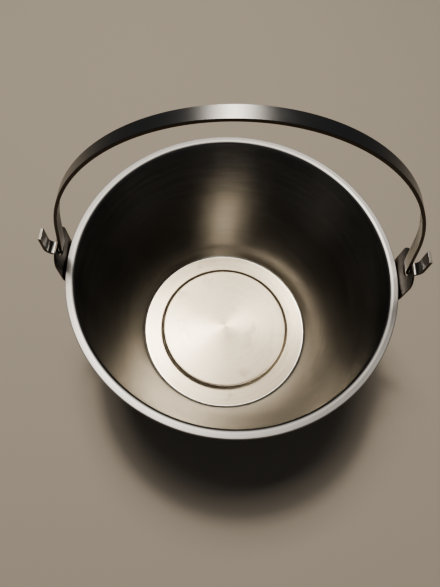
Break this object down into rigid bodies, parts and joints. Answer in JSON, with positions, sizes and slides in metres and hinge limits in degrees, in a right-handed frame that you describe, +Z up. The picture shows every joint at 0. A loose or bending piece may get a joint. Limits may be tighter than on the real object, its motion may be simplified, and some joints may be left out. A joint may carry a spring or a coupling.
{
  "type": "steel pail",
  "caption": "Open tapered steel pail with a rolled rim, a raised disc in its base and a flat strap bail handle hooked through upright ears.",
  "frame": {"origin": "centre of the standing face, under the middle of the base", "axes": "+Z up along the pail's axis, X through the two ears along the bail's pivot axis, +Y to the side that the standing bail leans to"},
  "size_m": [0.3328, 0.305, 0.3507],
  "materials": {
    "spun_shell_steel": "satin, spun round the axis",
    "rim_wire_steel": "drawn wire",
    "ear_steel": "pressed, dull satin",
    "bail_strip_steel": "brushed lengthwise"
  },
  "bodies": {
    "pail": {"bucket_shell": "spun_shell_steel", "rim_wire": "rim_wire_steel", "ear_right": "ear_steel", "ear_left": "ear_steel"},
    "bail": {"bail": "bail_strip_steel"}
  },
  "joints": [
    {"name": "bail_swing", "type": "hinge", "parent": "pail", "child": "bail", "pos_m": [0, 0, 0.186], "axis": [1, 0, 0], "range_deg": [-97, 103]}
  ]
}
